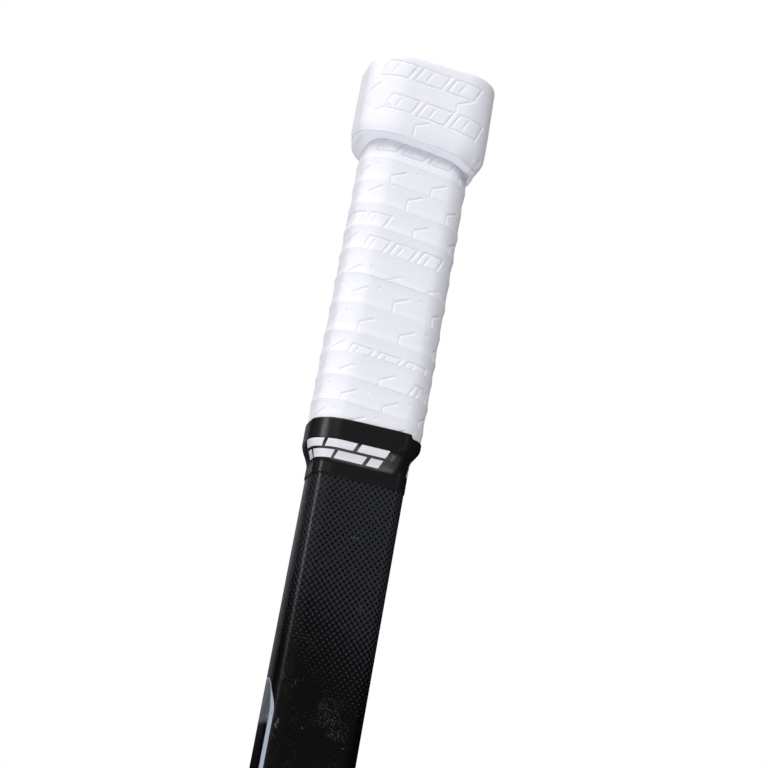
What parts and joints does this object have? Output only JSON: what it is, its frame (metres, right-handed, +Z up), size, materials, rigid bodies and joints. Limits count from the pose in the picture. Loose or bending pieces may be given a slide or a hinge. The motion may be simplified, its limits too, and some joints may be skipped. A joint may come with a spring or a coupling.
{
  "type": "ice hockey stick",
  "caption": "Left-handed ice hockey stick: hollow carbon shaft with taped knob and handle, and a curved, foam-cored, taped blade bonded into its foot.",
  "frame": {"origin": "centre of the flat face of the butt end, on the shaft's centre line", "axes": "+Z up the shaft towards the butt, +X towards the blade's toe, -Y out of the blade's forehand face"},
  "size_m": [0.2848, 0.0591, 1.7296],
  "materials": {
    "plug_plastic": "moulded satin",
    "knob_cloth": "woven cotton tape",
    "grip_tape": "soft satin, embossed",
    "finishing_tape": "satin vinyl with a printed pattern",
    "shaft_carbon": "clear-coated carbon",
    "upper_film": "gloss with a halftone print",
    "lower_film": "gloss with a halftone print",
    "blade_carbon": "matte carbon",
    "adhesive": "set hot-melt",
    "edge_resin": "resin and fibre",
    "core_foam": "closed-cell foam",
    "blade_cloth": "woven cotton tape, waxed and scuffed"
  },
  "bodies": {
    "root": {"butt_plug": "plug_plastic", "knob_core": "knob_cloth", "grip_tape": "grip_tape", "finishing_tape": "finishing_tape", "shaft_tube": "shaft_carbon", "upper_graphic_film": "upper_film", "lower_graphic_film": "lower_film", "hosel": "blade_carbon", "glue_line": "adhesive", "forehand_skin": "blade_carbon", "backhand_skin": "blade_carbon", "edge_band": "edge_resin", "lower_foam_core": "core_foam", "stiffening_rib": "blade_carbon", "upper_foam_core": "core_foam", "blade_tape": "blade_cloth"}
  },
  "joints": []
}
